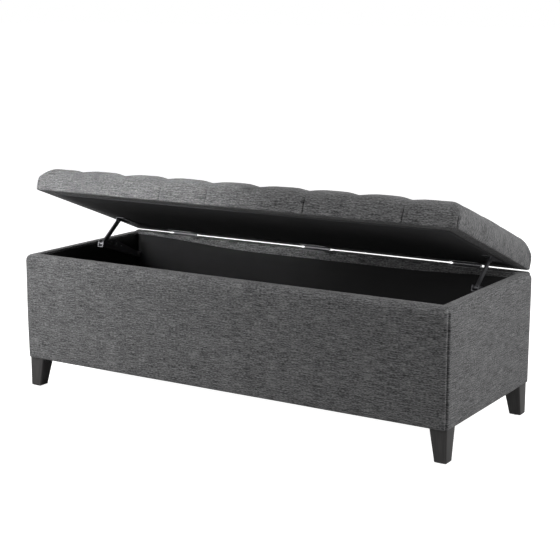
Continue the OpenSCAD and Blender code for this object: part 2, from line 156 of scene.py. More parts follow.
def cover_section(radius):
    """Section (inset, z) of the cover: in under the base, up the face, over the rim and down inside."""
    foot, rim = BOX_FOOT_Z, RIM_Z - RIM_DROP
    return np.concatenate([
        [[BASE_FOLD, foot - FOLD_HANG]],
        line((BASE_FOLD, foot), (HEM_R, foot), 3),
        arc((HEM_R, foot + HEM_R), HEM_R, 270, 180, 5),
        line((0, foot + HEM_R), (0, rim - radius), 24),
        arc((radius, rim - radius), radius, 180, 90, 12),
        line((radius, rim), (WALL - RIM_IN_R, rim), 3),
        arc((WALL - RIM_IN_R, rim - RIM_IN_R), RIM_IN_R, 90, 0, 7),
        line((WALL, rim - RIM_IN_R), (WALL, rim - RIM_FOLD), 2),
        [[WALL, rim - RIM_FOLD], [WALL, rim - RIM_FOLD - LINING_LAP]],
    ])


def under_hinge(x):
    """How firmly the hinge leaves press the cloth: 1 along each leaf, exp(-(gap / fade)^2) past its end."""
    gaps = [np.maximum(np.abs(x - middle) - HINGE_LEN / 2, 0) for middle in HINGE_XS]
    return sum(np.exp(-((gap / HINGE_FADE) ** 2)) for gap in gaps)


def box_cover():
    """The section swept round the box; faces swell by 1 - s^4 and dip along each corner seam."""
    soft, rear = cover_section(RIM_OUT_R), cover_section(REAR_RIM_R)
    lengths = run_length(soft)
    rows = []
    for (inset, z), (rear_inset, rear_z) in zip(soft, rear):
        points, outward, seam = ring(BOX_HALF - inset, max(BOX_CORNER_R - inset, 0.002), (90, 36), 18)
        rear_points, _, _ = ring(BOX_HALF - rear_inset, max(BOX_CORNER_R - rear_inset, 0.002), (90, 36), 18)
        back = np.clip(outward[:, 1], 0, 1) ** 2
        points = points + (rear_points - points) * back[:, None]
        level = z + (rear_z - z) * back
        side = np.clip((level - BOX_FOOT_Z) / (RIM_Z - BOX_FOOT_Z), 0, 1)
        face = 1.0 if inset < RIM_OUT_R else 0.0
        swell = FACE_SWELL * face * (1 - (2 * side - 1) ** 4) * np.clip(-seam / 0.05, 0, 1) ** 0.7
        uneven = FACE_UNEVEN * face * ripple(points[:, 0] * 1.3 + points[:, 1], z * 1.6, 3)
        groove = SEAM_DEPTH * face * np.exp(-((seam / 0.0019) ** 2)) * (1 - 0.6 * side**10)
        ridge = SEAM_RIDGE * face * np.exp(-(((np.abs(seam) - 0.0052) / 0.0024) ** 2))
        push = swell + uneven - groove + ridge
        pressed = under_hinge(points[:, 0]) * (points[:, 1] > 0)
        top = (z > RIM_Z - RIM_OUT_R) * (inset < WALL - 0.001)
        crown = RIM_CROWN * np.sin(np.pi * np.clip(inset / WALL, 0, 1)) * (1 - back)
        puff = top * (1 - pressed) * (0.0003 + 0.0019 * back + crown)
        rows.append(np.column_stack([
            points + outward * push[:, None] + [0, BOX_MID_Y],
            level + puff + 0.0003 * ripple(points[:, 0], points[:, 1], 8) * (1 - pressed) * top,
        ]))
    xyz = np.stack(rows)
    round_run = run_length(xyz[12, :, :2])
    uv = np.stack(np.broadcast_arrays(round_run[None, :], lengths[:, None]), -1)
    return cloth_mesh("box_cover_cloth", [(xyz, uv)])


cover = box_cover()
thick = cover.modifiers.new("cloth_thickness", "SOLIDIFY")
thick.thickness, thick.offset = CLOTH_T, -1


def put(tree, kind, inputs=None, **settings):
    """Adds a node; an input that is a socket is linked, and any other value is set."""
    made = tree.nodes.new(kind)
    for name, value in settings.items():
        setattr(made, name, value)
    for key, value in (inputs or {}).items():
        if isinstance(value, bpy.types.NodeSocket):
            tree.links.new(value, made.inputs[key])
        else:
            made.inputs[key].default_value = value
    return made


def effect(name, inputs, outputs):
    """An empty node group with those named inputs and outputs, and its two end nodes."""
    group = bpy.data.node_groups.new(name, "ShaderNodeTree")
    for socket, kind in inputs:
        group.interface.new_socket(name=socket, in_out="INPUT", socket_type=kind)
    for socket, kind in outputs:
        group.interface.new_socket(name=socket, in_out="OUTPUT", socket_type=kind)
    return group, put(group, "NodeGroupInput"), put(group, "NodeGroupOutput")


def use(tree, group, **inputs):
    """Places a node group; underscores in an input's keyword stand for spaces."""
    made = put(tree, "ShaderNodeGroup", node_tree=group)
    for key, value in inputs.items():
        socket = made.inputs[key.replace("_", " ")]
        if isinstance(value, bpy.types.NodeSocket):
            tree.links.new(value, socket)
        else:
            socket.default_value = value
    return made


def maths(tree, operation, a, b=0.0, c=0.0):
    """One arithmetic node's result."""
    return put(tree, "ShaderNodeMath", {0: a, 1: b, 2: c}, operation=operation).outputs[0]


def new_material(name, colour, roughness, **sockets):
    """A material with one Principled shader, whose named sockets are set; underscores stand for spaces."""
    made = bpy.data.materials.new(name)
    made.use_nodes = True
    shader = made.node_tree.nodes["Principled BSDF"]
    shader.inputs["Base Color"].default_value = (*colour, 1)
    shader.inputs["Roughness"].default_value = roughness
    for key, value in sockets.items():
        shader.inputs[key.replace("_", " ")].default_value = value
    return made, made.node_tree, shader


def build_streaks():
    """Noise stretched along the first axis: long thin marks, from 0 to 1."""
    vector, number = "NodeSocketVector", "NodeSocketFloat"
    group, start, end = effect(
        "streaks",
        [("Vector", vector), ("Along", number), ("Across", number), ("Detail", number)],
        [("Value", number)],
    )
    parts = put(group, "ShaderNodeSeparateXYZ", {0: start.outputs["Vector"]})
    stretched = put(group, "ShaderNodeCombineXYZ", {
        0: maths(group, "MULTIPLY", parts.outputs[0], start.outputs["Along"]),
        1: maths(group, "MULTIPLY", parts.outputs[1], start.outputs["Across"]),
        2: maths(group, "MULTIPLY", parts.outputs[2], start.outputs["Across"]),
    })
    noise = put(group, "ShaderNodeTexNoise", {
        "Vector": stretched.outputs[0], "Scale": 1.0, "Detail": start.outputs["Detail"], "Roughness": 0.6,
    })
    group.links.new(noise.outputs["Fac"], end.inputs["Value"])
    return group


def build_weave():
    """Plain weave: |sin| ridges across and along the cloth, one over the other by turns, from 0 to 1."""
    vector, number = "NodeSocketVector", "NodeSocketFloat"
    group, start, end = effect(
        "weave", [("Vector", vector), ("Yarns per metre", number)], [("Height", number)]
    )
    wobble = put(group, "ShaderNodeTexNoise", {
        "Vector": start.outputs["Vector"], "Scale": 260.0, "Detail": 1.0,
    })
    shift = maths(group, "MULTIPLY", wobble.outputs["Fac"], 1.6)
    parts = put(group, "ShaderNodeSeparateXYZ", {0: start.outputs["Vector"]})
    per = maths(group, "MULTIPLY", start.outputs["Yarns per metre"], math.pi)
    waves = []
    for axis in (0, 1):
        phase = maths(group, "MULTIPLY_ADD", parts.outputs[axis], per, shift)
        waves.append(maths(group, "SINE", phase))
    over = maths(group, "MULTIPLY_ADD", maths(group, "MULTIPLY", waves[0], waves[1]), 0.5, 0.5)
    warp = maths(group, "MULTIPLY", maths(group, "ABSOLUTE", waves[0]), over)
    weft = maths(group, "MULTIPLY", maths(group, "ABSOLUTE", waves[1]), maths(group, "SUBTRACT", 1.0, over))
    group.links.new(maths(group, "ADD", warp, weft), end.inputs["Height"])
    return group


streaks, weave = build_streaks(), build_weave()

DARK_YARN = (0.022, 0.022, 0.023)
LIGHT_YARN = (0.235, 0.235, 0.238)


def charcoal_cloth():
    """Heathered charcoal: dark and pale slub yarns running across the cloth, over a plain weave, whose dips
    are darkened as painted shade.
    """
    made, tree, shader = new_material(
        "charcoal_cloth", DARK_YARN, 0.92, Sheen_Weight=0.12, Sheen_Roughness=0.5, Specular_IOR_Level=0.25
    )
    cloth = put(tree, "ShaderNodeUVMap", uv_map="cloth").outputs[0]
    slub = use(tree, streaks, Vector=cloth, Along=30.0, Across=500.0, Detail=2.0).outputs[0]
    fleck = use(tree, streaks, Vector=cloth, Along=150.0, Across=520.0, Detail=2.0).outputs[0]
    cloud = use(tree, streaks, Vector=cloth, Along=13.0, Across=28.0, Detail=2.0).outputs[0]
    height = use(tree, weave, Vector=cloth, Yarns_per_metre=620.0).outputs[0]
    mixed = maths(tree, "MULTIPLY_ADD", slub, 0.48, maths(tree, "MULTIPLY", fleck, 0.52))
    spread = put(tree, "ShaderNodeMapRange", {"Value": mixed, "From Min": 0.38, "From Max": 0.64})
    tone = maths(tree, "POWER", spread.outputs[0], 1.35)
    worn = maths(tree, "MULTIPLY_ADD", cloud, 0.40, maths(tree, "MULTIPLY_ADD", tone, 1.05, -0.19))
    # the yarn tone is darkened where the weave dips between yarns: painted shade in the weave
    tone_with_weave_shade = maths(tree, "MULTIPLY", worn, maths(tree, "MULTIPLY_ADD", height, 0.45, 0.72))
    # sockets 6 and 7 of a Mix node are its two colours, and output 2 is the mixed colour
    colour = put(tree, "ShaderNodeMix", {
        0: tone_with_weave_shade, 6: (*DARK_YARN, 1), 7: (*LIGHT_YARN, 1),
    }, data_type="RGBA")
    tree.links.new(colour.outputs[2], shader.inputs["Base Color"])
    rise = maths(tree, "MULTIPLY_ADD", tone, 0.7, height)
    bump = put(tree, "ShaderNodeBump", {"Height": rise, "Strength": 0.55, "Distance": 0.0007})
    tree.links.new(bump.outputs[0], shader.inputs["Normal"])
    return made


charcoal = charcoal_cloth()
cover.data.materials.append(charcoal)
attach(cover, "box")
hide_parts("box_cover", "front_pad", "rear_pad", "left_pad", "right_pad")


# ---------------------------------------------------------------------------------------------
# Lid cushion: foam on a board under the same cloth, drawn down by hidden ties in a diamond
# layout, with pleats from the outer ties over the edges and a sewn seam at each corner.

pin_low, pin_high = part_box("hinge_pins")
PIN = np.array([(pin_low.y + pin_high.y) / 2, (pin_low.z + pin_high.z) / 2])
REST_OPEN = math.radians(20.6)
lid_low, lid_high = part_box("lid_cover")
LID_DEPTH = 0.482  # front to back, measured along the lid
LID_HALF = np.array([lid_high.x - lid_low.x, LID_DEPTH]) / 2
LID_FOOT_Z = 2 * PIN[1] - RIM_Z  # shut, it is as far above the pin as the rim is below
LID_MID_Y = box_high.y - LID_HALF[1]
EDGE_T = 0.067  # thickness at the front
HEEL_RISE = 0.009  # how much thicker it is at the back
END_SWELL, LONG_SWELL = 0.0045, 0.0018
SHOULDER_R, SHOULDER_RISE = 0.040, 0.036
SIDE_START = 0.35  # level at which the shoulder ends and the upright side begins
CROWN = 0.007
LID_CORNER_R = 0.010
LID_HEM_R = 0.003
HEM_SAG = 0.0016
LID_FOLD = 0.040
TIE_PITCH, TIE_COLUMNS = 0.1411, 8
TIE_ROW_GAP, TIE_ROWS = 0.060, 7
TOP_STEP, SHOULDER_STEPS = 0.004, 14
PLEAT_STEPS = np.array([-3.2, -2.2, -1.4, -0.7, 0, 0.7, 1.4, 2.2, 3.2]) * 1e-3
FOLD_DEPTH, TIE_DEPTH = 0.012, 0.020
PLEAT_DEPTH, CREASE_DEPTH, CREASE_W = 0.0022, 0.0034, 0.0020
FRONT_CREASES = [  # place along the front, and depth as a share of CREASE_DEPTH
    (-0.494, 0.08), (-0.346, 0.35), (-0.208, 1.0), (-0.064, 0.7),
    (0.079, 0.35), (0.221, 1.0), (0.348, 0.35), (0.486, 1.0),
]


def opened(xyz):
    """Turns points of the closed lid about the hinge pin to where it stands at rest."""
    y, z = xyz[..., 1] - PIN[0], xyz[..., 2] - PIN[1]
    c, s = math.cos(REST_OPEN), math.sin(REST_OPEN)
    return np.stack([xyz[..., 0], PIN[0] + y * c + z * s, PIN[1] - y * s + z * c], -1)


def tie_rows():
    """Tie points (x, y) from the lid's middle: rows a gap apart, every second one shifted half a pitch."""
    rows = []
    for row in range(TIE_ROWS):
        count = TIE_COLUMNS - row % 2
        x = (np.arange(count) - (count - 1) / 2) * TIE_PITCH
        rows.append(np.column_stack([x, np.full(count, (row - (TIE_ROWS - 1) / 2) * TIE_ROW_GAP)]))
    return rows


def fold_lines(rows):
    """Folds run from each tie to its nearest ties in the next row, and from the outer ties to the edges."""
    folds = [
        (tie, other)
        for near, far in zip(rows[:-1], rows[1:])
        for tie in near
        for other in far
        if abs(other[0] - tie[0]) < TIE_PITCH * 0.6
    ]
    reach = LID_HALF + 0.05
    folds += [(tie, np.array([crease, -reach[1]])) for tie, (crease, _) in zip(rows[0], FRONT_CREASES)]
    folds += [(tie, np.array([tie[0], reach[1]])) for tie in rows[-1]]
    for row in rows[::2]:
        folds += [(row[0], np.array([-reach[0], row[0][1]])), (row[-1], np.array([reach[0], row[-1][1]]))]
    return np.array(folds)


def distances(x, y):
    """Distance from each plan point to the nearest fold, and to the nearest tie."""
    rows = tie_rows()
    points = np.stack([x.ravel(), y.ravel()], -1)
    to_fold, to_tie = np.full(len(points), 1.0), np.full(len(points), 1.0)
    for start, end in fold_lines(rows):
        run = end - start
        share = np.clip(((points - start) @ run) / (run @ run), 0, 1)
        to_fold = np.minimum(to_fold, np.linalg.norm(points - start - share[:, None] * run, axis=1))
    for tie in np.concatenate(rows):
        to_tie = np.minimum(to_tie, np.linalg.norm(points - tie, axis=1))
    return to_fold.reshape(x.shape), to_tie.reshape(x.shape)


def stations(half, pleats=()):
    """Grid lines across the top: even ones, finer ones at the pleats, and ones that follow the shoulder."""
    flat = half - SHOULDER_R
    even = np.linspace(-flat, flat, 2 * int(flat / TOP_STEP) + 1)
    near = (np.array(pleats)[:, None] + PLEAT_STEPS).ravel()
    even = even[[np.abs(near - place).min(initial=1.0) > 0.0009 for place in even]]
    turn = np.linspace(0, np.pi / 2, SHOULDER_STEPS, endpoint=False)
    edge = half - SHOULDER_R * (1 - np.cos(turn))
    return np.unique(np.round(np.concatenate([even, near, edge, -edge, [-flat, flat]]), 6))


def shoulder(place, half):
    """Share of the way across the shoulder, the rise sqrt(1 - (1 - s)^2), and the cloth's length."""
    s = np.clip((half - np.abs(place)) / SHOULDER_R, 0, 1)
    turn = np.arccos(1 - s)
    length = np.sign(place) * (half - SHOULDER_R + SHOULDER_R * (np.pi / 2 - turn))
    return s, np.sin(turn), np.where(s < 1, length, place)


def round_corners(x, y):
    """Pulls a rectangle's corner squares onto quarter discs: (a, b) scaled by max(a, b) / |(a, b)|."""
    a = np.clip(1 - (LID_HALF[0] - np.abs(x)) / LID_CORNER_R, 0, None)
    b = np.clip(1 - (LID_HALF[1] - np.abs(y)) / LID_CORNER_R, 0, None)
    both = (a > 0) & (b > 0)
    scale = np.where(both, np.maximum(a, b) / np.maximum(np.hypot(a, b), 1e-9), 1)
    shift_x, shift_y = (a - a * scale) * LID_CORNER_R, (b - b * scale) * LID_CORNER_R
    return x - np.sign(x) * shift_x, y - np.sign(y) * shift_y


def pleat_push(x, front, to_fold, level):
    """How far a side is drawn in at its pleats: a wide dip, and at the front a thin crease.

    level runs from 0 at the top of the shoulder to 1 at the hem.
    """
    wide = PLEAT_DEPTH * np.exp(-((to_fold / 0.014) ** 1.3)) * np.clip(1 - level / 0.8, 0, 1)
    crease = sum(strength * np.exp(-(((x - place) / CREASE_W) ** 2)) for place, strength in FRONT_CREASES)
    return wide * (0.4 + 0.6 * front) + CREASE_DEPTH * crease * front * np.clip((level - 0.12) / 0.25, 0, 1)


def end_belly(x, y, level):
    """Swell of the sides, sin(pi * level), fading to nothing at the corner seams."""
    from_x, from_y = LID_HALF[0] - np.abs(x), LID_HALF[1] - np.abs(y)
    size = np.where(from_x < from_y, END_SWELL, LONG_SWELL)
    return size * np.sin(np.pi * level) * np.clip(np.maximum(from_x, from_y) / 0.07, 0, 1) ** 0.7


def lid_skin():
    """Top, sides and a flat cap inside the fold under the board, as one closed skin."""
    xs = stations(LID_HALF[0], [place for place, _ in FRONT_CREASES])
    ys = stations(LID_HALF[1])
    gx, gy = np.meshgrid(xs, ys)
    (sx, fx, ux), (sy, fy, uy) = shoulder(gx, LID_HALF[0]), shoulder(gy, LID_HALF[1])
    to_fold, to_tie = distances(gx, gy)
    inside = np.minimum(LID_HALF[0] - np.abs(gx), LID_HALF[1] - np.abs(gy))
    inner = np.clip((inside - 0.024) / 0.048, 0, 1)
    crown = CROWN * (1 - (gx / LID_HALF[0]) ** 4) * (1 - (gy / LID_HALF[1]) ** 2)
    pillow = 0.005 * np.sin(np.clip(to_fold / 0.046, 0, 1) * np.pi / 2) * inner
    fold = -FOLD_DEPTH * np.exp(-to_fold / 0.0095) * inner**1.5
    tie = -TIE_DEPTH * np.exp(-((to_tie / 0.017) ** 1.4))
    wall_z = LID_FOOT_Z + EDGE_T - SHOULDER_RISE
    heel = HEEL_RISE * (gy / LID_HALF[1] + 1) / 2
    rise = (SHOULDER_RISE + heel) * fx * fy
    z = wall_z + rise + (crown + pillow + fold + tie) * np.minimum(fx, fy) ** 2
    z += 0.0007 * ripple(gx * 2, gy * 2, 5) * inner

    front = np.clip((-gy - LID_HALF[1] + SHOULDER_R + 0.02) / 0.03, 0, 1)
    side_level = SIDE_START * (1 - np.minimum(fx, fy))
    normal = np.stack([np.sign(gx) * (1 - sx), np.sign(gy) * (1 - sy), fx * fy + 1e-6], -1)
    normal /= np.linalg.norm(normal, axis=-1, keepdims=True)
    bulge = 0.0012 * ripple(gx * 1.5, gy * 1.5, 17) + end_belly(gx, gy, side_level)
    bulge -= pleat_push(gx, front, to_fold, side_level) * (1 - inner)
    px, py = round_corners(gx, gy)
    top = np.stack([px, py + LID_MID_Y, z], -1) + normal * bulge[..., None]
    top_uv = np.stack([ux, uy], -1)

    order = np.concatenate([
        np.arange(len(xs)),
        np.arange(1, len(ys)) * len(xs) + len(xs) - 1,
        np.arange(len(xs) - 2, -1, -1) + (len(ys) - 1) * len(xs),
        np.arange(len(ys) - 2, -1, -1) * len(xs),
    ])

    def round_edge(field):
        """A field's values along the top's edge, in that order."""
        return field.reshape(-1, *field.shape[2:])[order]

    edge_x, edge_y = round_edge(gx), round_edge(gy)
    outward, edge_push = round_edge(normal), round_edge(bulge)
    plan = np.stack([round_edge(px), round_edge(py)], -1)
    edge_fold, edge_front = round_edge(to_fold), round_edge(front)
    corner = np.hypot(LID_HALF[0] - np.abs(edge_x), LID_HALF[1] - np.abs(edge_y))
    ends = LID_HALF[0] - np.abs(edge_x) < LID_HALF[1] - np.abs(edge_y)

    foot = LID_FOOT_Z
    profile = np.concatenate([
        [[0, wall_z]],
        line((0, wall_z), (0, foot + LID_HEM_R), 7),
        arc((LID_HEM_R, foot + LID_HEM_R), LID_HEM_R, 180, 270, 5),
        line((LID_HEM_R, foot), (LID_FOLD, foot), 3),
        [[LID_FOLD, foot], [LID_FOLD + 0.001, foot + 0.0015]],
    ])
    lengths = run_length(profile)
    base_push = edge_push + pleat_push(edge_x, edge_front, edge_fold, SIDE_START)
    rows = []
    for inset, z in profile:
        drop = np.clip((wall_z - z) / (wall_z - foot), 0, 1)
        level = SIDE_START + (1 - SIDE_START) * drop
        under = np.clip(1 - inset / LID_HEM_R, 0, 1)
        seam = 0.0036 * np.exp(-((corner / 0.0036) ** 2)) * np.clip(drop / 0.2, 0, 1)
        ridge = 0.0010 * np.exp(-(((corner - 0.0085) / 0.0035) ** 2)) * np.clip(drop / 0.2, 0, 1)
        swell = end_belly(edge_x, edge_y, level) - end_belly(edge_x, edge_y, SIDE_START)
        uneven = 0.0008 * ripple(edge_x * 2 + edge_y * 2, np.full_like(edge_x, z * 4), 11) * drop
        push = base_push - pleat_push(edge_x, edge_front, edge_fold, level) + (swell + uneven + ridge - seam)
        held = plan * (1 - inset / LID_HALF)
        pinned = under_hinge(edge_x) * (edge_y > 0)
        rear = np.clip(edge_y / LID_HALF[1], 0, 1) ** 2
        sag = HEM_SAG * rear * (1 - pinned) * drop**4 * np.clip(1.6 - inset / 0.012, 0, 1)
        rows.append(np.column_stack([
            held + outward[:, :2] * (push * under)[:, None] + [0, LID_MID_Y], z - sag,
        ]))
    sides = np.stack(rows)
    across = lengths[:, None]
    along_x, along_y = round_edge(ux), round_edge(uy)
    sides_uv = np.stack([
        np.where(ends, along_x + np.sign(edge_x) * across, edge_x),
        np.where(ends, edge_y, along_y + np.sign(edge_y) * across),
    ], -1)
    last = sides[-1]
    cap = np.stack([last, np.column_stack([last[:, 0], np.full(len(last), LID_MID_Y), last[:, 2]])])
    return cloth_mesh("lid_cushion", [
        (opened(top), top_uv), (opened(sides), sides_uv), (opened(cap), cap[..., :2]),
    ])


cushion = lid_skin()
cushion.data.materials.append(charcoal)
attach(cushion, "lid")
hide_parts("lid_cover", "lid_foam")


# ---------------------------------------------------------------------------------------------
# Black lining: thin spun cloth glued to the inside of the four panels and the floor, and
# stapled under the board of the lid and under the base.

LINING, LINING_T = 0.0015, 0.0008
LINING_SLACK = 0.0005


def black_cloth(name, dark, light):
    """Spun black cloth: a fine fibre mottle between two greys, with almost no shine."""
    made, tree, shader = new_material(name, (dark, dark, dark), 0.95, Specular_IOR_Level=0.2)
    place = put(tree, "ShaderNodeTexCoord").outputs["Object"]
    fibre = put(tree, "ShaderNodeTexNoise", {"Vector": place, "Scale": 900.0, "Detail": 2.0}).outputs["Fac"]
    patch = put(tree, "ShaderNodeTexNoise", {"Vector": place, "Scale": 14.0, "Detail": 3.0}).outputs["Fac"]
    tone = maths(tree, "MULTIPLY_ADD", fibre, 0.6, maths(tree, "MULTIPLY", patch, 0.4))
    ramp = put(tree, "ShaderNodeValToRGB", {0: tone})
    ramp.color_ramp.elements[0].color = (dark, dark, dark * 1.03, 1)
    ramp.color_ramp.elements[1].color = (light, light, light * 1.03, 1)
    tree.links.new(ramp.outputs[0], shader.inputs["Base Color"])
    bump = put(tree, "ShaderNodeBump", {"Height": fibre, "Strength": 0.3, "Distance": 0.0003})
    tree.links.new(bump.outputs[0], shader.inputs["Normal"])
    return made


black = black_cloth("black_lining", 0.009, 0.023)
# The dust cloth's greys are lighter than the lining's: partly a greyer cloth of its own, partly painted fill
# light on the undersides of the lid and base.
dust_black_painted_fill = black_cloth("black_dust_cloth_painted_fill", 0.042, 0.090)


def lining_sheet(name, size, place, body, node, seed, cloth=black):
    """A rectangle of cloth with an uneven field of slack on it; place maps (u, v, lift) to the frame."""
    u = np.linspace(-size[0] / 2, size[0] / 2, max(8, int(size[0] / 0.02)))
    v = np.linspace(-size[1] / 2, size[1] / 2, max(8, int(size[1] / 0.02)))
    gu, gv = np.meshgrid(u, v)
    edge = np.clip(np.minimum(size[0] / 2 - np.abs(gu), size[1] / 2 - np.abs(gv)) / 0.03, 0, 1)
    lift = LINING_SLACK * ripple(gu * 1.5, gv * 1.5, seed) * edge
    piece = cloth_mesh(name, [(place(gu, gv, lift), np.stack([gu, gv], -1))])
    thickness = piece.modifiers.new("cloth_thickness", "SOLIDIFY")
    thickness.thickness, thickness.offset = LINING_T, 0
    piece.data.materials.append(cloth)
    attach(piece, body)
    if node:
        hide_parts(node)


lining_low, lining_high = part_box("box_lining")
inner_half = np.array([lining_high.x, (lining_high.y - lining_low.y) / 2]) - LINING - LINING_T
floor_top = lining_low.z + LINING
TUCK_SHOWN = {"front": (0.008, 0.020, 0.012), "rear": (0.006, 0.022, 0.013)}
END_TUCK = 0.006


def wall_height(u, half, tuck):
    """Height of a wall lining: the cloth of the cover shows above it, least at the ends and most between."""
    left, middle, right = tuck
    share = np.clip((u + half) / (2 * half), 0, 1)
    rise = np.sin(np.clip(share / 0.36, 0, 1) * np.pi / 2) ** 2
    fall = np.sin(np.clip((1 - share) / 0.28, 0, 1) * np.pi / 2) ** 2
    shown = np.where(share < 0.5, left + (middle - left) * rise, right + (middle - right) * fall)
    return RIM_Z - shown - floor_top


def wall_lining(side, sign, axis, half, away, tuck, seed):
    """One wall's lining, from the floor up to its stapled edge; axis 0 runs along x, and 1 along y."""
    span = np.linspace(-half, half, 101)
    tall = wall_height(span, half, tuck)

    def place(u, v, lift):
        z = floor_top + (v / tall.max() + 0.5) * wall_height(u, half, tuck)
        across = sign * (away + lift)
        return np.stack([u, BOX_MID_Y + across, z] if axis == 0 else [across, BOX_MID_Y + u, z], -1)

    lining_sheet(
        f"lining_{side}", (2 * half, tall.max()), place, "box", None, seed,
    )


for side, sign, seed in (("front", -1, 20), ("rear", 1, 22)):
    wall_lining(side, sign, 0, inner_half[0], inner_half[1], TUCK_SHOWN[side], seed)
for side, sign, seed in (("left", -1, 24), ("right", 1, 26)):
    wall_lining(side, sign, 1, inner_half[1], inner_half[0], (END_TUCK,) * 3, seed)
lining_sheet(
    "lining_floor", (2 * inner_half[0], 2 * inner_half[1]),
    lambda u, v, lift: np.stack([u, BOX_MID_Y + v, lining_low.z + LINING / 2 + np.abs(lift)], -1),
    "box", "box_lining", 31,
)
dust_low, dust_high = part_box("base_dust_cover")
lining_sheet(
    "base_dust_cloth", (dust_high.x - dust_low.x, dust_high.y - dust_low.y),
    lambda u, v, lift: np.stack([u, BOX_MID_Y + v, (dust_low.z + dust_high.z) / 2 + lift], -1),
    "box", "base_dust_cover", 35, dust_black_painted_fill,
)
LID_DUST_INSET = 0.034
lining_sheet(
    "lid_dust_cloth", tuple(2 * (LID_HALF - LID_DUST_INSET)),
    lambda u, v, lift: opened(np.stack([u, LID_MID_Y + v, LID_FOOT_Z - 0.0005 + 0.4 * lift], -1)),
    "lid", "lid_dust_cover", 41, dust_black_painted_fill,
)


# ---------------------------------------------------------------------------------------------
# Frame: plywood panels, rails, floor and the lid's board, cut, glued and screwed.

def dress(material, *names):
    """Gives CAD parts, whose shape stays as it is, a better material."""
    for name in names:
        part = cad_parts[name]
        for place in part.material_slots:
            place.material = material


def plywood():
    """Pale ply: long soft grain along the board with darker pores."""
    made, tree, shader = new_material("plywood", (0.52, 0.38, 0.23), 0.62)
    place = put(tree, "ShaderNodeTexCoord").outputs["Object"]
    grain = use(tree, streaks, Vector=place, Along=4.0, Across=90.0, Detail=4.0).outputs[0]
    pore = use(tree, streaks, Vector=place, Along=40.0, Across=900.0, Detail=1.0).outputs[0]
    tone = maths(tree, "MULTIPLY_ADD", pore, 0.3, maths(tree, "MULTIPLY", grain, 0.7))
    ramp = put(tree, "ShaderNodeValToRGB", {0: tone})
    ramp.color_ramp.elements[0].position, ramp.color_ramp.elements[1].position = 0.35, 0.65
    ramp.color_ramp.elements[0].color = (0.36, 0.23, 0.12, 1)
    ramp.color_ramp.elements[1].color = (0.62, 0.47, 0.30, 1)
    tree.links.new(ramp.outputs[0], shader.inputs["Base Color"])
    bump = put(tree, "ShaderNodeBump", {"Height": pore, "Strength": 0.15, "Distance": 0.0003})
    tree.links.new(bump.outputs[0], shader.inputs["Normal"])
    return made


dress(
    plywood(), "front_base_rail", "rear_base_rail", "left_base_rail", "right_base_rail", "centre_batten",
    "floor_panel", "front_panel", "rear_panel", "left_panel", "right_panel", "lid_board",
)


# ---------------------------------------------------------------------------------------------
# Legs: solid wood, square and tapered on their two inner faces, edges eased, stained
# near-black and lacquered satin. A nail-on glide keeps each off the floor.

LEG_FOOT = 0.031
LEG_EDGE_R = 0.0018


def leg(name):
    """A rounded square carried up the leg: its outer faces stay upright as its side grows."""
    low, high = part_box(name)
    side_x, side_y = (1 if low.x > 0 else -1), (1 if low.y > BOX_MID_Y else -1)
    top = high.x - low.x
    outer = np.array([high.x if side_x > 0 else low.x, high.y if side_y > 0 else low.y])
    share = np.array([0, 0.004, 0.012, 0.03, 0.25, 0.5, 0.75, 0.985, 1.0])
    rows = []
    for t in share:
        ease = LEG_EDGE_R * max(0, 1 - t / 0.012) * 0.5
        half = (LEG_FOOT + (top - LEG_FOOT) * t) / 2
        points, _, _ = ring(np.array([half, half]) - ease, LEG_EDGE_R, (3, 3), 5)
        centre = outer - np.array([side_x, side_y]) * half
        rows.append(np.column_stack([points + centre, np.full(len(points), low.z + (high.z - low.z) * t)]))
    xyz = np.stack(rows)
    round_run = run_length(xyz[-1, :, :2])
    uv = np.stack(np.broadcast_arrays(xyz[..., 2], round_run[None, :]), -1)
    caps = [
        (np.stack([row, np.tile(row[:-1].mean(0), (len(row), 1))]), np.zeros((2, len(row), 2)))
        for row in (xyz[0], xyz[-1])
    ]
    return cloth_mesh(name + "_post", [(xyz, uv), *caps])


def stained_wood():
    """Near-black stain over straight grain, satin lacquer."""
    made, tree, shader = new_material(
        "stained_wood", (0.03, 0.028, 0.028), 0.36, Coat_Weight=0.25, Coat_Roughness=0.25
    )
    cloth = put(tree, "ShaderNodeUVMap", uv_map="cloth").outputs[0]
    grain = use(tree, streaks, Vector=cloth, Along=14.0, Across=420.0, Detail=4.0).outputs[0]
    ramp = put(tree, "ShaderNodeValToRGB", {0: grain})
    ramp.color_ramp.elements[0].position, ramp.color_ramp.elements[1].position = 0.35, 0.7
    ramp.color_ramp.elements[0].color = (0.016, 0.015, 0.015, 1)
    ramp.color_ramp.elements[1].color = (0.042, 0.039, 0.038, 1)
    tree.links.new(ramp.outputs[0], shader.inputs["Base Color"])
    rough = put(tree, "ShaderNodeMapRange", {"Value": grain, "To Min": 0.30, "To Max": 0.46})
    tree.links.new(rough.outputs[0], shader.inputs["Roughness"])
    bump = put(tree, "ShaderNodeBump", {"Height": grain, "Strength": 0.12, "Distance": 0.0004})
    tree.links.new(bump.outputs[0], shader.inputs["Normal"])
    return made


stained = stained_wood()
for corner in ("front_left", "front_right", "rear_left", "rear_right"):
    post = leg(f"{corner}_leg")
    post.data.materials.append(stained)
    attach(post, "box")
    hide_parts(f"{corner}_leg")


# ---------------------------------------------------------------------------------------------
# Metalwork: rolled steel hinges, folded steel stays, their rivets and screws, brass inserts
# and plastic glides, all as the frame has them.

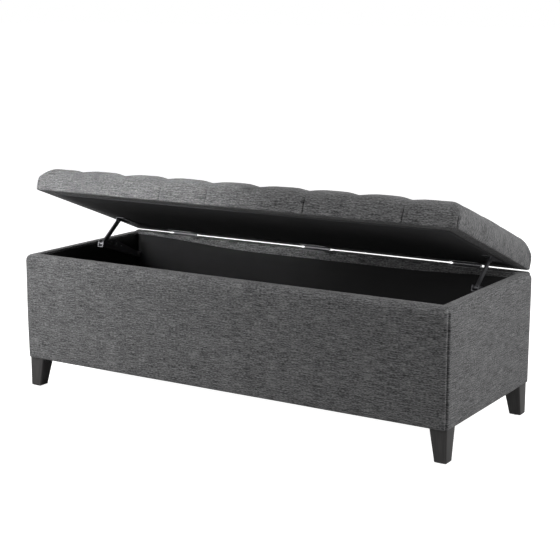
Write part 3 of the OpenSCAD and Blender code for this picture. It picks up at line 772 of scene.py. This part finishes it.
def steel(name, colour, roughness):
    """Steel with fine drawn lines and a faint uneven dulling."""
    made, tree, shader = new_material(name, colour, roughness, Metallic=1.0)
    place = put(tree, "ShaderNodeTexCoord").outputs["Object"]
    drawn = use(tree, streaks, Vector=place, Along=60.0, Across=1500.0, Detail=2.0).outputs[0]
    dull = put(tree, "ShaderNodeTexNoise", {"Vector": place, "Scale": 60.0, "Detail": 3.0}).outputs["Fac"]
    mixed = maths(tree, "MULTIPLY_ADD", drawn, 0.5, maths(tree, "MULTIPLY", dull, 0.5))
    rough = put(tree, "ShaderNodeMapRange", {
        "Value": mixed, "From Min": 0.3, "From Max": 0.7,
        "To Min": roughness - 0.08, "To Max": roughness + 0.12,
    })
    tree.links.new(rough.outputs[0], shader.inputs["Roughness"])
    ramp = put(tree, "ShaderNodeValToRGB", {0: mixed})
    ramp.color_ramp.elements[0].position, ramp.color_ramp.elements[1].position = 0.3, 0.7
    ramp.color_ramp.elements[0].color = (*(0.8 * c for c in colour), 1)
    ramp.color_ramp.elements[1].color = (*colour, 1)
    tree.links.new(ramp.outputs[0], shader.inputs["Base Color"])
    bump = put(tree, "ShaderNodeBump", {"Height": drawn, "Strength": 0.06, "Distance": 0.0002})
    tree.links.new(bump.outputs[0], shader.inputs["Normal"])
    return made


STAY_PARTS = ("wall_bracket", "lower_arm", "elbow_rivet", "upper_arm", "lid_bracket")
hinge_steel = steel("hinge_steel", (0.36, 0.36, 0.37), 0.42)
stay_steel = steel("stay_steel", (0.17, 0.17, 0.18), 0.48)
screw_steel = steel("screw_steel", (0.50, 0.50, 0.51), 0.36)
dress(
    hinge_steel, "hinge_pins",
    *(f"{name}_hinge_{leaf}_leaf" for name in HINGES for leaf in ("box", "lid")),
)
dress(
    stay_steel, "stay_base_rivets", "stay_lid_rivets",
    *(f"{side}_{part}" for side in ("left", "right") for part in STAY_PARTS),
)
dress(
    screw_steel, "base_screws", "frame_screws", "leg_bolts", "hinge_box_screws", "hinge_lid_screws",
    "stay_wall_screws", "stay_lid_screws",
)
dress(steel("insert_brass", (0.72, 0.55, 0.25), 0.35), "leg_inserts")


def glide_plastic():
    """Hard black plastic, faintly speckled."""
    made, tree, shader = new_material("glide_plastic", (0.03, 0.03, 0.03), 0.5)
    place = put(tree, "ShaderNodeTexCoord").outputs["Object"]
    speck = put(tree, "ShaderNodeTexNoise", {"Vector": place, "Scale": 800.0, "Detail": 1.0}).outputs["Fac"]
    rough = put(tree, "ShaderNodeMapRange", {"Value": speck, "To Min": 0.42, "To Max": 0.6})
    tree.links.new(rough.outputs[0], shader.inputs["Roughness"])
    return made


dress(glide_plastic(), "leg_glides")


# ---------------------------------------------------------------------------------------------
# Studio: a pale floor that runs to the horizon, soft lights ahead to the left, at the right end
# and behind, a narrow strip light for the lid's front, and a camera about a metre up.

CAMERA_AT = Vector((1.8674, BOX_MID_Y - 2.9322, 1.0312))
CAMERA_YAW, CAMERA_PITCH = math.radians(32.03), math.radians(-11.49)
LENS = 86.55
WORLD_LIGHT = 0.19
FLOOR_REACH, FLOOR_Z = 60.0, -0.0003
LIGHTS = [  # name, where it stands, what it aims at, size, watts, spread in degrees
    ("key", (-1.2, -1.1, 1.0), (-0.3, 0.0, 0.4), (0.8, 0.8), 28, 180),
    ("lid", (-0.80, -1.35, 1.02), (-0.80, -0.2, 0.60), (1.6, 0.08), 1.1, 15),
    ("end", (1.9, -0.2, 1.3), (0.6, 0.0, 0.3), (0.8, 0.8), 25, 180),
    ("back", (0.4, 2.3, 1.5), (0.0, 0.2, 0.4), (1.8, 1.0), 32, 180),
]


def studio():
    """Floor, lights, world and camera."""
    mesh = bpy.data.meshes.new("studio_floor")
    around = ((-1, -1), (1, -1), (1, 1), (-1, 1))
    corners = [(x * FLOOR_REACH, y * FLOOR_REACH, FLOOR_Z) for x, y in around]
    mesh.from_pydata(corners, [], [(0, 1, 2, 3)])
    floor = bpy.data.objects.new("studio_floor", mesh)
    floor_paint, tree, shader = new_material("studio_floor", (0.45, 0.45, 0.45), 0.9)
    seen = put(tree, "ShaderNodeLightPath").outputs["Is Camera Ray"]
    shader.inputs["Emission Color"].default_value = (1, 1, 1, 1)
    tree.links.new(seen, shader.inputs["Emission Strength"])
    mesh.materials.append(floor_paint)
    bpy.context.scene.collection.objects.link(floor)

    world = bpy.data.worlds.new("studio")
    world.use_nodes = True
    tree = world.node_tree
    sky = tree.nodes["Background"]
    seen = put(tree, "ShaderNodeLightPath").outputs["Is Camera Ray"]
    strength = put(tree, "ShaderNodeMapRange", {"Value": seen, "To Min": WORLD_LIGHT, "To Max": 1.0})
    sky.inputs["Color"].default_value = (1, 1, 1, 1)
    tree.links.new(strength.outputs[0], sky.inputs["Strength"])
    bpy.context.scene.world = world

    for name, where, aim, size, power, spread in LIGHTS:
        lamp = bpy.data.lights.new(name, "AREA")
        lamp.shape, lamp.size, lamp.size_y, lamp.energy = "RECTANGLE", size[0], size[1], power
        lamp.spread = math.radians(spread)
        holder = bpy.data.objects.new(name, lamp)
        holder.location = where
        holder.rotation_euler = (Vector(aim) - Vector(where)).to_track_quat("-Z", "Y").to_euler()
        holder.visible_camera = False
        bpy.context.scene.collection.objects.link(holder)

    camera = bpy.data.objects.new("camera", bpy.data.cameras.new("camera"))
    camera.data.lens = LENS
    camera.location = CAMERA_AT
    aim = Vector((
        -math.sin(CAMERA_YAW) * math.cos(CAMERA_PITCH),
        math.cos(CAMERA_YAW) * math.cos(CAMERA_PITCH),
        math.sin(CAMERA_PITCH),
    ))
    camera.rotation_euler = aim.to_track_quat("-Z", "Y").to_euler()
    bpy.context.scene.collection.objects.link(camera)
    bpy.context.scene.camera = camera
    bpy.context.scene.view_settings.view_transform = "Standard"


studio()
